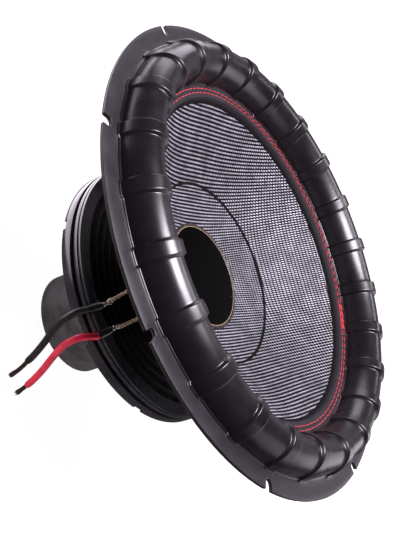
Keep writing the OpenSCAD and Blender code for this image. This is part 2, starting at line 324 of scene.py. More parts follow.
class Look:
    """A Principled material, and short ways to add nodes to it."""

    def __init__(self, name, colour, roughness, **sockets):
        self.material = bpy.data.materials.new(name)
        self.material.use_nodes = True
        self.tree = self.material.node_tree
        self.shader = self.tree.nodes["Principled BSDF"]
        self.shader.inputs["Base Color"].default_value = (*colour, 1)
        self.shader.inputs["Roughness"].default_value = roughness
        for socket, value in sockets.items():
            self.shader.inputs[socket.replace("_", " ")].default_value = value
        self.place = self.add("ShaderNodeTexCoord").outputs["Object"]

    def add(self, kind, **settings):
        node = self.tree.nodes.new(kind)
        for key, value in settings.items():
            setattr(node, key, value)
        return node

    def link(self, source, target):
        self.tree.links.new(source, target)
        return target

    def noise(self, size, detail=3.0, stretch=(1, 1, 1), place=None):
        """Noise whose grains are about size millimetres."""
        spread = self.add("ShaderNodeMapping")
        spread.inputs["Scale"].default_value = [s / (size * MM) for s in stretch]
        self.link(place or self.place, spread.inputs["Vector"])
        node = self.add("ShaderNodeTexNoise")
        node.inputs["Scale"].default_value = 1
        node.inputs["Detail"].default_value = detail
        self.link(spread.outputs["Vector"], node.inputs["Vector"])
        return node.outputs["Fac"]

    def math(self, operation, a, b=0.0):
        node = self.add("ShaderNodeMath", operation=operation)
        for socket, value in zip(node.inputs, (a, b)):
            if isinstance(value, (int, float)):
                socket.default_value = value
            else:
                self.link(value, socket)
        return node.outputs[0]

    def ranged(self, value, low, high, out_low=0.0, out_high=1.0):
        node = self.add("ShaderNodeMapRange", interpolation_type="SMOOTHSTEP")
        self.link(value, node.inputs["Value"])
        sockets = ("From Min", "From Max", "To Min", "To Max")
        for socket, number in zip(sockets, (low, high, out_low, out_high)):
            node.inputs[socket].default_value = number
        return node.outputs["Result"]

    def colours(self, factor, dark, light):
        """Mixes two colours and feeds the base colour."""
        node = self.add("ShaderNodeMix", data_type="RGBA")
        self.link(factor, node.inputs[0])
        for index, colour in ((6, dark), (7, light)):
            if isinstance(colour, tuple):
                node.inputs[index].default_value = (*colour, 1)
            else:
                self.link(colour, node.inputs[index])
        self.link(node.outputs[2], self.shader.inputs["Base Color"])
        return node.outputs[2]

    def rough(self, factor, low, high):
        self.link(self.ranged(factor, 0.25, 0.75, low, high), self.shader.inputs["Roughness"])

    def bump(self, height, depth, strength=1.0):
        """Relief of about depth millimetres. A second call adds to the first."""
        node = self.add("ShaderNodeBump")
        node.inputs["Strength"].default_value = strength
        node.inputs["Distance"].default_value = depth * MM
        self.link(height, node.inputs["Height"])
        old = self.shader.inputs["Normal"].links
        if old:
            self.link(old[0].from_socket, node.inputs["Normal"])
        self.link(node.outputs["Normal"], self.shader.inputs["Normal"])


def moulded_rubber(name, colour, roughness, grain, specular=0.5):
    """Black moulded rubber with a fine grain, and faint flow marks that are lighter and rougher."""
    look = Look(name, colour, roughness, Specular_IOR_Level=specular)
    flow = look.noise(22, 4)
    fine = look.noise(1.3, 2)
    lighter = tuple(c * 1.5 for c in colour)
    look.colours(look.ranged(look.math("ADD", flow, fine), 0.75, 1.3), colour, lighter)
    look.rough(flow, roughness - 0.03, roughness + 0.04)
    look.bump(fine, grain)
    return look.material


def gasket_fibre():
    look = Look("gasket_fibre", (0.03, 0.02, 0.016), 0.85)
    fibres = look.noise(1.2, 4, (1, 1, 3))
    look.colours(look.ranged(fibres, 0.3, 0.7), (0.015, 0.01, 0.008), (0.05, 0.033, 0.026))
    look.bump(fibres, 0.12)
    return look.material


def yarn(name, dark, light, roughness, **sockets):
    """Bundled glass fibres: fine streaks along the yarn, with patches that lie a little brighter."""
    look = Look(name, light, roughness, **sockets)
    turn = look.add("ShaderNodeMapping", vector_type="TEXTURE")
    turn.inputs["Rotation"].default_value = (0, 0, math.radians(45 + DOT_ROW_TURN))
    look.link(look.place, turn.inputs["Vector"])
    fibres = look.noise(0.3, 2, (0.2, 1, 1), turn.outputs["Vector"])
    patches = look.noise(14, 3)
    look.colours(look.ranged(look.math("ADD", fibres, patches), 0.75, 1.25), dark, light)
    look.rough(fibres, roughness - 0.07, roughness + 0.1)
    look.bump(fibres, 0.05)
    return look.material


def cured_glue():
    look = Look("cured_glue", (0.012, 0.01, 0.01), 0.22, Coat_Weight=0.2)
    lumps = look.noise(3, 3)
    look.colours(look.ranged(lumps, 0.3, 0.7), (0.008, 0.007, 0.007), (0.022, 0.018, 0.017))
    look.rough(lumps, 0.18, 0.4)
    look.bump(lumps, 0.25)
    return look.material


def sewing_thread():
    look = Look("sewing_thread", (0.4, 0.008, 0.016), 0.6, Sheen_Weight=0.1)
    plies = look.noise(0.5, 2, (1, 1, 2))
    look.colours(look.ranged(plies, 0.3, 0.7), (0.16, 0.003, 0.007), (0.55, 0.012, 0.022))
    look.bump(plies, 0.1)
    return look.material


def pressed_pulp():
    """Coated paper pulp, with fibres and faint clouds."""
    look = Look("pressed_pulp", (0.018, 0.018, 0.02), 0.6)
    fibres = look.noise(2.2, 5, (1, 2.5, 1))
    clouds = look.noise(30, 3)
    mottle = look.ranged(look.math("ADD", fibres, clouds), 0.7, 1.3)
    look.colours(mottle, (0.012, 0.012, 0.013), (0.04, 0.039, 0.042))
    look.rough(clouds, 0.45, 0.72)
    look.bump(fibres, 0.2)
    return look.material


def laminate():
    """Tan glass-fibre laminate of the coil former."""
    look = Look("former_laminate", (0.5, 0.36, 0.2), 0.42)
    cloth = look.noise(0.7, 3, (1, 1, 2.5))
    look.colours(look.ranged(cloth, 0.3, 0.7), (0.2, 0.13, 0.07), (0.36, 0.25, 0.14))
    look.bump(cloth, 0.06)
    return look.material


def flat_black():
    """Flat black, which swallows the light. It is a coating in the cone's crease, and painted shade in the
    bore and under the landing's edge.
    """
    look = Look("flat_black", (0.003, 0.003, 0.003), 0.9)
    look.shader.inputs["Specular IOR Level"].default_value = 0.1
    grain = look.noise(0.8, 3)
    look.colours(look.ranged(grain, 0.3, 0.7), (0.002, 0.002, 0.002), (0.005, 0.005, 0.005))
    look.bump(grain, 0.05)
    return look.material


def copper_winding(name):
    look = Look(name, (0.65, 0.25, 0.1), 0.28, Metallic=1.0)
    turns = look.add("ShaderNodeTexWave", bands_direction="Z", wave_profile="SIN")
    turns.inputs["Scale"].default_value = 1 / (2 * WIRE_D * MM)
    turns.inputs["Distortion"].default_value = 0
    look.link(look.place, turns.inputs["Vector"])
    look.colours(turns.outputs["Fac"], (0.3, 0.09, 0.03), (0.78, 0.34, 0.15))
    look.bump(turns.outputs["Fac"], 0.2)
    return look.material


def coil_sleeve():
    """Satin dark wrap over the winding, with faint turns of the wire pressing through."""
    look = Look("coil_sleeve", (0.07, 0.062, 0.068), 0.42, Coat_Weight=0.15, Coat_Roughness=0.3)
    clouds = look.noise(26, 3, (1, 1, 2))
    turns = look.add("ShaderNodeTexWave", bands_direction="Z", wave_profile="SIN")
    turns.inputs["Scale"].default_value = 160
    turns.inputs["Distortion"].default_value = 0.4
    look.link(look.place, turns.inputs["Vector"])
    look.colours(look.ranged(clouds, 0.3, 0.7), (0.06, 0.053, 0.058), (0.11, 0.098, 0.106))
    look.rough(clouds, 0.36, 0.5)
    look.bump(turns.outputs["Fac"], 0.05)
    look.bump(look.noise(0.6, 2), 0.03)
    return look.material


def collar_paper():
    look = Look("collar_paper", (0.02, 0.019, 0.02), 0.75)
    fibres = look.noise(1.4, 4, (1, 1, 2))
    look.colours(look.ranged(fibres, 0.3, 0.7), (0.012, 0.012, 0.012), (0.035, 0.033, 0.035))
    look.bump(fibres, 0.08)
    return look.material


def ring_plastic():
    """Semi-gloss moulded plastic with fine turning marks."""
    look = Look("ring_plastic", (0.03, 0.027, 0.031), 0.22, Coat_Weight=0.3, Coat_Roughness=0.12)
    marks = look.noise(2.4, 3, (0.15, 0.15, 4))
    clouds = look.noise(40, 3)
    look.colours(look.ranged(clouds, 0.3, 0.7), (0.02, 0.018, 0.022), (0.038, 0.034, 0.04))
    look.rough(clouds, 0.16, 0.32)
    look.bump(marks, 0.05)
    return look.material


def spider_cloth():
    """Resin-stiffened black cloth, woven on a square lattice."""
    look = Look("spider_cloth", (0.008, 0.008, 0.009), 0.7, Specular_IOR_Level=0.2)
    spread = look.add("ShaderNodeMapping")
    spread.inputs["Scale"].default_value = [math.pi / (0.9 * MM)] * 3
    look.link(look.place, spread.inputs["Vector"])
    axes = look.add("ShaderNodeSeparateXYZ")
    look.link(spread.outputs["Vector"], axes.inputs["Vector"])
    along_x = look.math("COSINE", axes.outputs["X"])
    along_y = look.math("COSINE", axes.outputs["Y"])
    lattice = look.math("MULTIPLY", along_x, along_y)
    look.colours(look.ranged(lattice, -0.6, 0.6), (0.0015, 0.0015, 0.0018), (0.006, 0.0058, 0.0065))
    look.bump(lattice, 0.22)
    return look.material


def bare_metal(name, dark, light, roughness):
    look = Look(name, light, roughness, Metallic=1.0)
    tarnish = look.noise(2.5, 4)
    look.colours(look.ranged(tarnish, 0.3, 0.7), dark, light)
    look.rough(tarnish, roughness - 0.06, roughness + 0.14)
    look.bump(look.noise(0.5, 2), 0.04)
    return look.material


def tinsel_braid():
    """Braided copper tinsel with fabric cores showing between its turns."""
    look = Look("tinsel_braid", (0.6, 0.44, 0.32), 0.45, Metallic=0.1)
    plaits = look.noise(1.5, 2, (1, 1, 1.6))
    look.colours(look.ranged(plaits, 0.38, 0.62), (0.22, 0.14, 0.09), (0.95, 0.72, 0.54))
    look.bump(plaits, 0.3)
    return look.material


def insulation(name, colour, roughness):
    look = Look(name, colour, roughness, Coat_Weight=0.15, Coat_Roughness=0.35)
    marks = look.noise(9, 3)
    dark = tuple(c * 0.72 for c in colour)
    look.colours(look.ranged(marks, 0.3, 0.7), dark, colour)
    look.rough(marks, roughness - 0.06, roughness + 0.1)
    look.bump(look.noise(0.7, 2), 0.03)
    return look.material


def shrink_tube():
    look = Look("shrink_tube", (0.012, 0.012, 0.013), 0.3)
    wrinkles = look.noise(2.4, 3, (1, 0.3, 1))
    look.colours(look.ranged(wrinkles, 0.3, 0.7), (0.008, 0.008, 0.009), (0.022, 0.022, 0.024))
    look.bump(wrinkles, 0.15)
    return look.material


RUBBER_COLOUR = (0.0045, 0.0037, 0.0048)
MATTE_RUBBER = moulded_rubber("rubber_matte", tuple(c * 1.8 for c in RUBBER_COLOUR), 0.4, 0.2)
FLAT_RUBBER = moulded_rubber("rubber_flat", tuple(c * 2.6 for c in RUBBER_COLOUR), 0.7, 0.09, 0.2)
SATIN_RUBBER = moulded_rubber("rubber_satin", RUBBER_COLOUR, 0.29, 0.0015)
GASKET = gasket_fibre()
SILVER_YARN = yarn("silver_yarn", (0.17, 0.17, 0.195), (0.38, 0.38, 0.43), 0.4, Metallic=0.2)
BLACK_YARN = yarn("black_yarn", (0.001, 0.001, 0.0015), (0.003, 0.003, 0.004), 0.7, Specular_IOR_Level=0.1)
GLUE = cured_glue()
THREAD = sewing_thread()
PULP = pressed_pulp()
LAMINATE = laminate()
WINDING = copper_winding("copper_winding")
SLEEVE_WRAP = coil_sleeve()
COLLAR = collar_paper()
FLAT_BLACK = flat_black()
PLASTIC = ring_plastic()
CLOTH = spider_cloth()
TERMINAL = bare_metal("terminal_metal", (0.45, 0.22, 0.12), (0.75, 0.45, 0.28), 0.35)
SOLDER = bare_metal("solder", (0.35, 0.33, 0.31), (0.62, 0.6, 0.57), 0.3)
COPPER = bare_metal("bare_copper", (0.5, 0.31, 0.22), (0.86, 0.64, 0.52), 0.34)
TINSEL = tinsel_braid()
BLACK_INSULATION = insulation("black_insulation", (0.03, 0.028, 0.029), 0.42)
RED_INSULATION = insulation("red_insulation", (0.86, 0.014, 0.06), 0.36)
SHRINK = shrink_tube()


# ---------------------------------------------------------- camera and floor

def make_camera():
    """A long lens low over the rim, rolled so that the coil axis lies across the picture."""
    place = Vector((-5.206, -804.28, 615.21)) * MM
    elevation = math.radians(28.70)
    roll = math.radians(69.48)
    data = bpy.data.cameras.new("camera")
    data.sensor_width = 36
    data.lens = 62.66
    camera = bpy.data.objects.new("camera", data)
    bpy.context.scene.collection.objects.link(camera)
    tilt = Matrix.Rotation(math.pi / 2 - elevation, 4, "X")
    camera.matrix_world = Matrix.Translation(place) @ tilt @ Matrix.Rotation(roll, 4, "Z")
    bpy.context.scene.camera = camera


make_camera()


# ------------------------------------------------------------------------ cords

def make_lead(name, route, bare_route, bare_name, material):
    """An insulated lead with its stripped strands, both riding on the spider pack."""
    path = smooth_path(route, 5)

    def radius(t):
        return LEAD_D / 2 * (1 - 0.06 * ease((t - 0.97) / 0.03))

    lead = stand_for(tubes(f"{name}_insulated", [path], radius, 24, [material]), None, name)
    strands = make_strands(bare_name, bare_route)
    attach(lead, "spider_pack")
    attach(strands, "spider_pack")


def make_strands(name, route):
    """Nineteen bare strands in a slow twist, spread a little at the tip."""
    rng = random.Random(len(name))
    path = smooth_path(route, 8)
    frames = path_frames(path)
    places = [(0.0, 0.0)]
    places += [(0.92, 60.0 * k) for k in range(6)]
    places += [(1.72, 30.0 * k + 15) for k in range(12)]
    strands = []
    for r, start in places:
        loose = rng.uniform(0.0, 0.45)
        lean = rng.uniform(-25, 25)
        strand = []
        for i, (p, side, up) in enumerate(frames):
            t = i / (len(frames) - 1)
            a = math.radians(start + 150 * t + lean * ease((t - 0.6) / 0.4))
            spread = min(r * (1 + loose * ease((t - 0.55) / 0.45)), 2.1)
            strand.append(p + spread * (math.cos(a) * side + math.sin(a) * up))
        strands.append(strand)
    ob = tubes(f"{name}_strands", strands, lambda t: STRAND_R, 6, [COPPER])
    return stand_for(ob, None, name)


make_lead("lead_black", BLACK_ROUTE, BLACK_BARE_ROUTE, "bare_end_black", BLACK_INSULATION)
make_lead("lead_red", RED_ROUTE, RED_BARE_ROUTE, "bare_end_red", RED_INSULATION)


# ------------------------------------------------------------------ the surround

def rim_edge(offset, notched):
    """Radius of the rim's edge at an angle from a rib's centre."""
    if notched and abs(offset) <= math.degrees(math.asin(NOTCH_R / NOTCH_CENTRE_R)) + 1e-4:
        across = min(NOTCH_CENTRE_R * abs(math.sin(math.radians(offset))), NOTCH_R)
        return NOTCH_CENTRE_R - math.sqrt(NOTCH_R ** 2 - across ** 2)
    return RIM_R


# The inner landing's edge: up from the cone, over a short slope and onto the landing's face.
INNER_EDGE = [
    (SKIRT_TIP_R, SKIRT_TIP_Z + 0.1), (SKIRT_TIP_R, SKIRT_TIP_Z + SKIRT_EDGE - 0.3),
    (SKIRT_TIP_R + 0.15, SKIRT_TIP_Z + SKIRT_EDGE + 0.1), (160.05, 229.9), (160.45, 230.9), (160.8, 231.6),
    (161.2, 232.1), (162.0, INNER_TOP), (167.0, INNER_TOP),
]
ROLL_STEPS = 60


# The bead's outline from the landing to the roll, in shares of its width and height.
UPSTAND_SHAPE = [(1.6, 0.0), (1.35, 0.05), (1.2, 0.2), (1.1, 0.5), (0.88, 0.8), (0.5, 0.97), (0.0, 1.0)]


def upstand(foot, level, direction):
    """A small round bead where the roll's foot meets a landing, from the landing to the roll."""
    return [(foot + direction * w * UPSTAND_W, level + h * UPSTAND_H) for w, h in UPSTAND_SHAPE]


BEND_W = RIB_FILLET * math.sin(math.radians(RIB_WALL_ANGLE))
BEND_H = RIB_FILLET * (1 - math.cos(math.radians(RIB_WALL_ANGLE)))
WALL_SLOPE = math.tan(math.radians(RIB_WALL_ANGLE))
RIB_SIDE_W = 2 * BEND_W + (RIB_PROUD - 2 * BEND_H) / WALL_SLOPE
DEGREE_W = math.radians(1) * ROLL_MID_R


def rib_share(offset):
    """Share of a rib's height: a filleted foot, a steep wall and a rounded edge up to a flat top."""
    across = min(max((RIB_HALF - abs(offset)) * DEGREE_W, 0), RIB_SIDE_W)
    back = RIB_SIDE_W - across
    if across < BEND_W:
        return (RIB_FILLET - math.sqrt(RIB_FILLET ** 2 - across ** 2)) / RIB_PROUD
    if back < BEND_W:
        return 1 - (RIB_FILLET - math.sqrt(RIB_FILLET ** 2 - back ** 2)) / RIB_PROUD
    return (BEND_H + (across - BEND_W) * WALL_SLOPE) / RIB_PROUD


def surround_section(offset, notched):
    """The moulding's section at an angle from a rib's centre, as a loop of (r, z)."""
    rib = rib_share(offset)
    half_w = ROLL_HALF_W + RIB_FOOT * rib
    height = ROLL_H + RIB_PROUD * rib
    edge = rim_edge(offset, notched)
    landing_start = ROLL_MID_R + half_w + UPSTAND_SHAPE[0][0] * UPSTAND_W
    outer_start = math.asin(UPSTAND_H / height)
    loop = list(INNER_EDGE)
    loop += upstand(ROLL_MID_R - half_w, INNER_TOP, -1)
    for s in range(ROLL_STEPS + 1):
        a = mix(math.pi, outer_start, s / ROLL_STEPS)
        loop.append((ROLL_MID_R + half_w * math.cos(a), RIM_TOP + height * math.sin(a)))
    loop += reversed(upstand(ROLL_MID_R + half_w, RIM_TOP, 1)[:-1])
    loop += [(mix(landing_start, edge, t), RIM_TOP) for t in (0.35, 0.7)]
    loop += [(edge - 0.5, RIM_TOP), (edge - 0.15, RIM_TOP - 0.15), (edge, RIM_TOP - 0.5)]
    loop += [(edge, RIM_BOTTOM + 0.4), (edge - 0.4, RIM_BOTTOM), (ROLL_MID_R + ROLL_HALF_W, RIM_BOTTOM)]
    for s in range(13):
        a = math.pi * s / 12
        loop.append((ROLL_MID_R + (ROLL_HALF_W - ROLL_WALL) * math.cos(a),
                     RIM_BOTTOM + (ROLL_H - ROLL_WALL + RIM_TOP - RIM_BOTTOM) * math.sin(a)))
    loop += [(ROLL_MID_R - ROLL_HALF_W + ROLL_WALL, LIP_Z), (LIP_START_R, LIP_Z)]
    return loop


def sector_offsets():
    """Angles of a sector's sections from its rib's centre, close together where the shape turns."""
    notch_side = math.degrees(math.asin(NOTCH_R / NOTCH_CENTRE_R))
    bend = [BEND_W * s / 4 for s in range(5)]
    side = [RIB_HALF - w / DEGREE_W for w in bend + [RIB_SIDE_W - w for w in reversed(bend)]]
    plain = [mix(RIB_PITCH / 2, RIB_HALF, s / 9) for s in range(9)]
    crown = [notch_side + 0.02, notch_side, 1.12, 0.92, 0.62, 0.32]
    half = plain + side + crown
    return [-a for a in half] + [0.0] + half[::-1]


def make_surround():
    """Twenty-four sectors, each with one rib, between the cone and the rim."""
    nodes = ("surround_roll", "surround_outer_landing", "surround_inner_landing")
    first_of_roll = len(INNER_EDGE)
    last_of_roll = first_of_roll + ROLL_STEPS + 2 * len(UPSTAND_SHAPE) - 1
    offsets = sector_offsets()
    for k in range(RIB_COUNT):
        centre = RIB_PHASE + RIB_PITCH * k
        notched = k % NOTCH_EVERY == 0
        columns = [(centre + a, surround_section(a, notched)) for a in offsets]
        sector = sweep_columns(
            f"surround_sector_{k + 1:02d}", columns, [MATTE_RUBBER, SATIN_RUBBER, FLAT_RUBBER],
            index_of=lambda i: 2 if i < first_of_roll else int(i < last_of_roll),
        )
        stand_for(sector, None, *nodes)
        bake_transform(sector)


make_surround()


def stitch(angle, r, rng):
    """Path of one stitch: a short arc whose ends sink into the landing."""
    half = 180 / STITCH_COUNT * rng.uniform(0.72, 0.78)
    skew = rng.uniform(-0.12, 0.12)
    path = []
    for s in range(9):
        t = s / 4 - 1
        path.append(Vector(polar(angle + half * t, r + skew * t, INNER_TOP + 0.35 - 0.8 * abs(t) ** 5)))
    return path


def make_stitches():
    """Two rows of red stitches. Where the seam starts and ends, both rows are sewn twice."""
    for row, (node, r) in enumerate(STITCH_RADII.items()):
        rng = random.Random(row)
        pitch = 360 / STITCH_COUNT
        paths = [stitch(pitch * (k + 0.25 * row), r, rng) for k in range(STITCH_COUNT)]
        angle = SEAM_OVERLAP[0]
        while angle < SEAM_OVERLAP[1]:
            paths.append(stitch(angle, r + 1.1, rng))
            paths.append(stitch(angle + pitch * 0.4, r - 1.0, rng))
            angle += pitch
        thread = tubes(
            f"stitching_{row + 1}", paths, lambda t: THREAD_R - 0.16 * abs(2 * t - 1) ** 3, 8, [THREAD],
        )
        stand_for(thread, "cone_assembly", node)


make_stitches()


# ---------------------------------------------------------------------- the cone

def cone_z(r):
    """Height of the cone's front face at a radius."""
    if r < CREASE_R:
        return mix(NECK_Z, CREASE_Z, (r - FORMER_R) / (CREASE_R - FORMER_R))
    return mix(CREASE_Z, MOUTH_Z, (r - CREASE_R) / (CONE_MOUTH_R - CREASE_R))


def pull(share_and_angle, a):
    """How far the cloth is drawn out at an angle, as a share of the radius."""
    share, angle = share_and_angle
    return share * math.cos(3 * a + math.radians(angle))


def cloth_point(row, column, rise):
    """Place on the cone of a point of the cloth, given in dots along and across the rows."""
    turn = math.radians(DOT_ROW_TURN)
    from_rows = math.atan2(column, row)
    flat_r = max(math.hypot(row, column) * DOT_PITCH - NECK_GATHER, 0)
    along = flat_r * (math.cos(from_rows) + pull(PULL_ALONG, turn + from_rows))
    across = flat_r * (math.sin(from_rows) + pull(PULL_ACROSS, turn + from_rows))
    x = along * math.cos(turn) - across * math.sin(turn)
    y = along * math.sin(turn) + across * math.cos(turn)
    return (x, y, cone_z(math.hypot(x, y)) + rise)


def yarn_point(p, q, rise):
    """The same for a point given in yarns: silver ones count along q and black ones along p."""
    return cloth_point((p + q) / 2, (p - q) / 2, rise)


# A float's outline in dots: along its row, across it, and how far it leans over its length.
FLOAT_ALONG = (-0.44, -0.27, 0.0, 0.27, 0.44)
FLOAT_ACROSS = (-0.2, -0.1, 0.1, 0.2)
FLOAT_LEAN = 0.3
# Where a float's crown would come down to nothing, in dots along and across.
CROWN_ALONG = 0.55
CROWN_ACROSS = 0.32


def add_float(points, faces, row, column):
    """One silver float: a closed pillow where the silver yarn crosses over a black one."""
    start = len(points)
    wide = len(FLOAT_ACROSS)
    for u in FLOAT_ALONG:
        for v in FLOAT_ACROSS:
            crown_along = math.cos(math.pi / 2 * u / CROWN_ALONG)
            crown_across = math.cos(math.pi / 2 * v / CROWN_ACROSS)
            rise = SILVER_RISE * (crown_along * crown_across) - SILVER_SUNK
            points.append(cloth_point(row + v + FLOAT_LEAN * u, column + u, rise))
    for i in range(len(FLOAT_ALONG) - 1):
        for j in range(wide - 1):
            k = start + i * wide + j
            faces.append((k, k + wide, k + wide + 1, k + 1))
    last = start + (len(FLOAT_ALONG) - 1) * wide
    rim = [start + j for j in range(wide)]
    rim += [start + i * wide + wide - 1 for i in range(1, len(FLOAT_ALONG))]
    rim += [last + j for j in range(wide - 2, -1, -1)]
    rim += [start + i * wide for i in range(len(FLOAT_ALONG) - 2, 0, -1)]
    faces.append(tuple(rim))


def on_cloth(row, column):
    """Whether a place counted in dots lies on the woven part of the cone."""
    x, y, _ = cloth_point(row, column, 0)
    return CLOTH_START_R < math.hypot(x, y) < CLOTH_END_R


def make_weave():
    """Plain weave on the cone: a sheet of black yarns with the silver floats standing out of it."""
    far = math.ceil(2.2 * (CLOTH_END_R + NECK_GATHER) / DOT_PITCH)
    numbers = {}
    points = []
    faces = []

    def vertex(i, j):
        if (i, j) not in numbers:
            numbers[i, j] = len(points)
            rise = -BLACK_RISE * math.cos(math.pi * i / 2) * math.cos(math.pi * j / 2)
            points.append(yarn_point(i / 2, j / 2, rise))
        return numbers[i, j]

    for i in range(-2 * far, 2 * far):
        for j in range(-2 * far, 2 * far):
            if on_cloth((i + j + 1) / 4, (i - j) / 4):
                faces.append((vertex(i, j), vertex(i, j + 1), vertex(i + 1, j + 1), vertex(i + 1, j)))
    sheet = make_object("woven_skin_black", points, faces, [BLACK_YARN], sharp=80, clean=False)
    stand_for(sheet, "cone_assembly", "woven_skin")

    points = []
    faces = []
    for row in range(-far // 2, far // 2):
        for column in range(-far // 2, far // 2):
            if on_cloth(row, column):
                add_float(points, faces, row, column)
    floats = make_object("woven_skin_silver", points, faces, [SILVER_YARN], sharp=80, clean=False)
    stand_for(floats, "cone_assembly", "woven_skin")


make_weave()


def make_crease():
    """The dark line of coating that lies in the cone's crease."""
    half = 1.3
    loop = []
    for s in range(9):
        a = math.pi * s / 8
        r = CREASE_R + half * math.cos(a)
        loop.append((r, cone_z(r) + 0.2 + 0.45 * math.sin(a) ** 0.5))
    loop.append((CREASE_R - half, cone_z(CREASE_R - half) - 0.5))
    loop.append((CREASE_R + half, cone_z(CREASE_R + half) - 0.6))
    line = lathe("cone_crease_coating", loop, [FLAT_BLACK], 180)
    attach(line, "cone_assembly")


make_crease()


def wavy_lathe(name, loop, material, waver, seed, steps=160):
    """A lathe whose loop swells and shrinks a little round the turn, as a hand-laid bead does."""
    rng = random.Random(seed)
    waves = [(n, rng.uniform(0, 2 * math.pi), rng.uniform(0.3, 1) / n ** 0.5) for n in (3, 7, 13, 22, 37)]
    total = sum(w[2] for w in waves)
    centre = [sum(p[i] for p in loop) / len(loop) for i in (0, 1)]
    columns = []
    for s in range(steps):
        a = 2 * math.pi * s / steps
        swell = 1 + waver * sum(h * math.sin(n * a + phase) for n, phase, h in waves) / total
        swollen = [tuple(c + (q - c) * swell for c, q in zip(centre, p)) for p in loop]
        columns.append((math.degrees(a), swollen))
    return sweep_columns(name, columns, [material], whole_turn=True)


def make_cone_details():
    """The pressed backing cone, the glue at its neck and the glue bead round its mouth, in flat black as
    painted shade.
    """
    backing_low = bottom("cone_backing")
    thick = NECK_Z - SKIN_T - backing_low
    face = [(FORMER_R, NECK_Z - SKIN_T), (CREASE_R - 2, cone_z(CREASE_R - 2) - SKIN_T)]
    face += [(CREASE_R, CREASE_Z - 0.62), (CREASE_R + 2, cone_z(CREASE_R + 2) - SKIN_T)]
    face += [(CONE_MOUTH_R, MOUTH_Z - SKIN_T), (160.6, LIP_Z - 0.9), (162.0, LIP_Z - SKIN_T)]
    face += [(173.6, LIP_Z - SKIN_T), (174.0, LIP_Z - 1.1)]
    back = [(173.8, LIP_Z - SKIN_T - thick), (162.5, LIP_Z - 0.8 - thick), (161.2, LIP_Z - 1.2 - thick)]
    back += [(r, cone_z(r) - SKIN_T - thick) for r in (CONE_MOUTH_R, CREASE_R + 2)]
    back += [(CREASE_R, CREASE_Z - 0.75 - thick), (CREASE_R - 2, cone_z(CREASE_R - 2) - SKIN_T - thick)]
    back += [(FORMER_R, backing_low)]
    stand_for(lathe("cone_backing_pulp", face + back, [PULP], 180), "cone_assembly", "cone_backing")

    front = [(FORMER_R, NECK_Z - 0.3), (FORMER_R + 3.6, NECK_Z + 0.9), (FORMER_R + 2.6, NECK_Z + 1.5),
             (FORMER_R + 1.2, NECK_Z + 1.6), (FORMER_R, NECK_Z + 1.1)]
    ob = wavy_lathe("neck_glue_front_bead", front, GLUE, 0.14, 3)
    stand_for(ob, "cone_assembly", "neck_glue_front")
    low = bottom("neck_glue_rear")
    rear = [(FORMER_R, low + 2), (WINDING_R, low), (WINDING_R + 1.4, low + 0.5), (FORMER_R + 3.4, low + 1.9),
            (FORMER_R + 4.4, low + 3.6), (FORMER_R, low + 2.6)]
    stand_for(wavy_lathe("neck_glue_rear_bead", rear, GLUE, 0.1, 4), "cone_assembly", "neck_glue_rear")
    # The glue bead under the landing's edge is real glue, but its flat black is painted shade of that edge.
    edge_top = SKIRT_TIP_Z + SKIRT_EDGE
    foot = SKIRT_TIP_R - SKIRT_GLUE_W
    bead = [(foot - 0.2, cone_z(foot - 0.2) - 0.3), (SKIRT_TIP_R + 0.3, SKIRT_TIP_Z - 0.1),
            (SKIRT_TIP_R + 0.3, edge_top - 0.1), (SKIRT_TIP_R - 0.25, edge_top - 0.15),
            (SKIRT_TIP_R - 1.4, SKIRT_TIP_Z - 0.2), (foot, cone_z(foot) + 0.5)]
    line = wavy_lathe("landing_glue_painted_shade", bead, FLAT_BLACK, 0.04, 5)
    stand_for(line, "cone_assembly", "landing_glue_bead")


make_cone_details()


def make_coil():
    """The former, its collar and the sleeve over the winding."""
    former = rounded_rect(FORMER_BORE_R, FORMER_R, bottom("coil_former"), top("coil_former"), 0.12, 2)
    # The bore's inner wall takes flat black: painted shade inside the deep bore. The rest of the tube is
    # laminate.
    shaded_bore_wall = 5
    tube = lathe("coil_former_tube", former, [LAMINATE, FLAT_BLACK], 180, lambda k: int(k == shaded_bore_wall))
    stand_for(tube, "cone_assembly", "coil_former")
    wrap = rounded_rect(WINDING_R, COIL_R, bottom("coil_wrap"), top("coil_wrap"), 0.25, 3)
    stand_for(lathe("coil_wrap_sleeve", wrap, [SLEEVE_WRAP], 180), "cone_assembly", "coil_wrap")
    collar_end = top("former_collar")
    collar = rounded_rect(FORMER_R, WINDING_R, bottom("former_collar"), collar_end, 0.2, 2)
    stand_for(lathe("former_collar_wrap", collar, [COLLAR]), "cone_assembly", "former_collar")


make_coil()


# --------------------------------------------------------------- the spider pack

def slot_edges(route):
    """Start and end angle of the slot that a lead leaves through."""
    middle = math.degrees(math.atan2(route[0][1], route[0][0])) % 360
    half = math.degrees(math.asin(SLOT_W / 2 / (PACK_R - 3)))
    return middle - half, middle + half


def cut_angles(cuts):
    """Angles of sections round a ring, with a pair of them at each side of a cut."""
    angles = {round(360 * s / 144, 3) for s in range(144)}
    for start, end, _ in cuts:
        angles |= {start - 0.01, start + 0.01, end - 0.01, end + 0.01}
    return sorted(a % 360 for a in angles)


def cut_at(angle, cuts):
    """The cut that an angle lies in, or None."""
    for start, end, cut in cuts:
        if start <= angle <= end:
            return cut
    return None


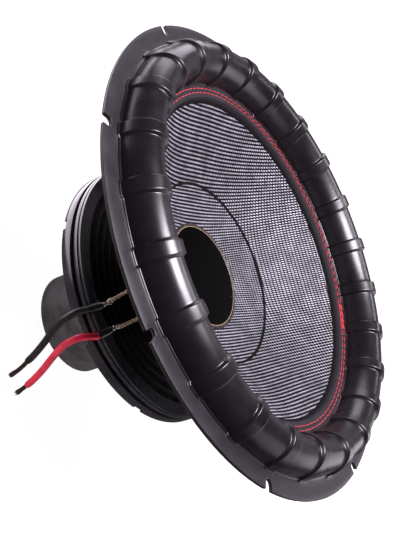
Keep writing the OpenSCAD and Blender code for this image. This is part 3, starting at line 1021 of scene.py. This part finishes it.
def make_ring(name, node, outer_r, inner_r, cuts=(), edge=0.45):
    """A spider ring whose outside is cut back by (level, depth) over stretches of its turn."""
    z0 = bottom(node)
    z1 = top(node)
    columns = []
    for angle in cut_angles(cuts):
        level, depth = cut_at(angle, cuts) or (z0 + edge, 0.0)
        back = outer_r - depth
        columns.append((angle, [
            (outer_r, z1 - edge), (outer_r - 0.3 * edge, z1 - 0.3 * edge), (outer_r - edge, z1),
            (inner_r + edge, z1), (inner_r, z1 - edge), (inner_r, z0 + edge), (inner_r + edge, z0),
            (back - edge, z0), (back - 0.3 * edge, z0 + 0.3 * edge), (back, z0 + edge),
            (back, level), (outer_r, level),
        ]))
    ring = sweep_columns(name, columns, [PLASTIC], whole_turn=True)
    return stand_for(ring, "spider_pack", node)


def make_rings():
    """The rear ring with its bites and recess, the two slotted rings and the spacer."""
    rear_z = bottom("rear_ring")
    recess = (*RECESS_ANGLES, (rear_z + RECESS_H, RECESS_DEPTH))
    bites = []
    for k in range(BITE_COUNT):
        middle = BITE_PHASE + 360 / BITE_COUNT * k
        bites.append((middle - BITE_HALF, middle + BITE_HALF, (rear_z + BITE_H, BITE_DEPTH)))
    make_ring("rear_ring_moulding", "rear_ring", PACK_R, PACK_BORE_R, [*bites, recess])
    slots = []
    for route in (BLACK_ROUTE, RED_ROUTE):
        start, end = slot_edges(route)
        slots.append((start, end, PACK_R - SLOT_START_R))
    for name in ("middle_ring", "front_ring"):
        edge = 0.4
        cuts = [(start, end, (top(name) - edge, depth)) for start, end, depth in slots]
        make_ring(f"{name}_moulding", name, PACK_R, PACK_BORE_R, cuts, edge)
    make_ring("spacer_ring_moulding", "spacer_ring", reach("spacer_ring"), PACK_BORE_R, (), 0.25)


make_rings()


def spider_height(r):
    """Wave of a corrugated spider above its flat rim."""
    if not SPIDER_NECK_END_R < r < CORRUGATION_END_R:
        return 0.0
    t = (r - SPIDER_NECK_END_R) / (CORRUGATION_END_R - SPIDER_NECK_END_R)
    fade = ease(min(t, 1 - t) * 14)
    return fade * CORRUGATION_H * math.sin(2 * math.pi * CORRUGATION_COUNT * t)


def make_spider(node, outer_r):
    """A pressed cloth disc in sectors between the coil and the pack."""
    z0 = top(node) - CORRUGATION_H - SPIDER_T
    thick = SPIDER_T * 0.5
    span = 360 / SPIDER_SECTORS
    radii = [WINDING_R, SPIDER_NECK_END_R]
    waves = 14 * CORRUGATION_COUNT
    radii += [mix(SPIDER_NECK_END_R, CORRUGATION_END_R, s / waves) for s in range(1, waves + 1)]
    radii += [outer_r]
    level = z0 + SPIDER_T
    upper = [(r, level + spider_height(r)) for r in radii]
    lower = [(r, level - thick + spider_height(r)) for r in reversed(radii)]
    for k in range(SPIDER_SECTORS):
        columns = [(span * k + span * s / 8, upper + lower) for s in range(9)]
        sector = sweep_columns(f"{node}_sector_{k + 1:02d}", columns, [CLOTH], sharp=70)
        set_turned_normals(sector, upper + lower)
        stand_for(sector, None, node)
        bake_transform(sector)


def set_turned_normals(ob, loop):
    """Gives each point its section's own normal, so that neighbouring sectors shade as one."""
    normals = {}
    count = len(loop)
    for i, (r, z) in enumerate(loop):
        before = loop[i - 1]
        after = loop[(i + 1) % count]
        dr = after[0] - before[0]
        dz = after[1] - before[1]
        size = math.hypot(dr, dz) or 1
        normals[round(r, 3), round(z, 3)] = (dz / size, -dr / size)
    mesh = ob.data
    wanted = []
    for vertex in mesh.vertices:
        x, y, z = (c / MM for c in vertex.co)
        r = math.hypot(x, y)
        nr, nz = normals.get((round(r, 3), round(z, 3)), (0.0, 1.0))
        wanted.append(Vector((nr * x / r, nr * y / r, nz)))
    flip = -1 if sum(w.dot(v.normal) for w, v in zip(wanted, mesh.vertices)) < 0 else 1
    mesh.normals_split_custom_set_from_vertices([tuple(flip * w) for w in wanted])


for spider, outer in SPIDER_OUTER_R.items():
    make_spider(spider, outer)


def make_spider_glue():
    for k, name in enumerate(("rear", "middle", "front")):
        z = bottom(f"spider_glue_{name}")
        bead = [(WINDING_R - 0.1, z - 0.2), (WINDING_R + 3.1, z - 0.1), (WINDING_R + 2.2, z + 0.9),
                (WINDING_R + 1.0, z + 1.7), (WINDING_R - 0.1, z + 2.3)]
        ob = wavy_lathe(f"spider_glue_{name}_bead", bead, GLUE, 0.12, 10 + k)
        stand_for(ob, "cone_assembly", f"spider_glue_{name}")


make_spider_glue()


# -------------------------------------------------- tinsel, sleeves and terminals

def make_tinsel(node, route, turns, loose):
    """Two braided strands twisted round each other, between the coil and the pack."""
    frames = path_frames(smooth_path(route, 14))
    strands = []
    for side_of in (0, math.pi):
        strand = []
        for i, (p, side, up) in enumerate(frames):
            t = i / (len(frames) - 1)
            a = side_of + 2 * math.pi * turns * t
            spread = 1.0 + loose * ease(t / 0.08) * (1 - ease((t - 0.12) / 0.12))
            strand.append(p + spread * (math.cos(a) * side + math.sin(a) * up))
        strands.append(strand)
    ob = tubes(f"{node}_pair", strands, lambda t: 0.88, 10, [TINSEL])
    stand_for(ob, None, node)
    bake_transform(ob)


make_tinsel("tinsel_lead_black", BLACK_TINSEL_ROUTE, 7.5, 1.2)
make_tinsel("tinsel_lead_red", RED_TINSEL_ROUTE, 8.5, 0.2)


def make_joint(colour, route):
    """The shrunk sleeve over a lead's end, and the solder blob at its mouth."""
    leave = Vector(route[0])
    scale = SLEEVE_START_R / math.hypot(leave.x, leave.y)
    inner = Vector((leave.x * scale, leave.y * scale, SLEEVE_START_Z))
    path = [inner.lerp(leave, s / 16) for s in range(17)]

    def radius(t):
        ends = 0.1 * ease((0.12 - t) / 0.12) + 0.06 * ease((t - 0.93) / 0.07)
        return SLEEVE_D / 2 * (1 - ends) - 0.08 * math.sin(40 * t) ** 2

    sleeve = tubes(f"lead_sleeve_{colour}_tube", [path], radius, 28, [SHRINK])
    stand_for(sleeve, "spider_pack", f"lead_sleeve_{colour}")

    out = (inner - leave).normalized()
    blob = [inner + out * (5 * s / 12 - 0.2) for s in range(13)]

    def swell(t):
        return max(0.5, 2.4 * math.sin(math.pi * min(max(t, 0.06), 0.97)) ** 0.6)

    solder = tubes(f"solder_joint_{colour}_blob", [blob], swell, 20, [SOLDER])
    stand_for(solder, "spider_pack", f"solder_joint_{colour}")


make_joint("black", BLACK_ROUTE)
make_joint("red", RED_ROUTE)


def dress_cad_nodes():
    """Materials for the CAD nodes that stay as they are."""
    for node, material in (
        ("winding_inner_layer", WINDING), ("winding_outer_layer", WINDING), ("rim_gasket", GASKET),
        ("tinsel_terminal_black", TERMINAL), ("tinsel_terminal_red", TERMINAL),
    ):
        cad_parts[node].data.materials.clear()
        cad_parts[node].data.materials.append(material)


dress_cad_nodes()


# --------------------------------------------------------------- floor and lights

def make_floor():
    """A pale floor, which also lights the object from below, and a far wall, which doesn't."""
    look = Look("floor", (0.3, 0.3, 0.3), 0.95)
    look.colours(look.noise(300, 2), (0.29, 0.29, 0.29), (0.31, 0.31, 0.31))
    look.shader.inputs["Specular IOR Level"].default_value = 0.0
    look.shader.inputs["Emission Color"].default_value = (1, 1, 1, 1)
    look.shader.inputs["Emission Strength"].default_value = 0.95
    edge = [polar(360 * k / 48, 6000, 0) for k in range(48)]
    floor = make_object("floor", edge, [tuple(range(48))], [look.material])
    top_edge = [(x, y, 5000) for x, y, _ in edge]
    sides = [(k, (k + 1) % 48, 48 + (k + 1) % 48, 48 + k) for k in range(48)]
    wall = make_object("backdrop", edge + top_edge, sides, [look.material])
    wall.visible_shadow = False
    wall.visible_diffuse = False
    for ob in (floor, wall):
        ob.visible_glossy = False


def make_light(name, direction, distance, width, height, radiance, up=(0, 0, 1)):
    """A soft box that faces the object's middle from a direction."""
    away = Vector(direction).normalized()
    place_light(name, Vector((0, 0, 0.24)) + away * distance, away, width, height, radiance, up)


def place_light(name, place, back, width, height, radiance, up):
    """An area light at a place, which shines against the direction of its back."""
    data = bpy.data.lights.new(name, "AREA")
    data.shape = "RECTANGLE"
    data.size = width
    data.size_y = height
    data.energy = radiance * math.pi * width * height
    data.color = (0.98, 0.9, 1.0)
    light = bpy.data.objects.new(name, data)
    bpy.context.scene.collection.objects.link(light)
    across = Vector(up).cross(back).normalized()
    turn = Matrix((across, back.cross(across), back)).transposed().to_4x4()
    light.matrix_world = Matrix.Translation(place) @ turn
    light.visible_camera = False


def make_world():
    world = bpy.data.worlds.new("studio")
    bpy.context.scene.world = world
    world.use_nodes = True
    background = world.node_tree.nodes["Background"]
    background.inputs["Color"].default_value = (1, 0.96, 1, 1)
    background.inputs["Strength"].default_value = 0.05


make_floor()
make_world()
make_light("overhead_box", (-0.1, -0.22, 0.97), 1.6, 0.66, 0.95, 42, up=(0, 1, 0))
make_light("overhead_strip", (0.0, 0.52, 0.85), 1.6, 0.17, 0.95, 12, up=(0, 1, 0))
make_light("back_right_box", (0.72, 0.66, 0.2), 2.0, 1.6, 1.0, 2.2)
make_light("back_left_box", (-0.73, 0.65, 0.2), 2.0, 1.15, 1.0, 3.6)
make_light("back_panel", (0.0, 1.0, 0.25), 2.2, 2.6, 1.2, 0.35)
make_light("right_box", (0.97, 0.05, 0.25), 2.0, 1.1, 1.1, 1.1)
place_light("floor_bounce", Vector((-0.8, 0.15, 0.002)), Vector((0, 0, -1)), 1.2, 1.1, 4.0, (0, 1, 0))
bpy.context.scene.view_settings.view_transform = "Standard"
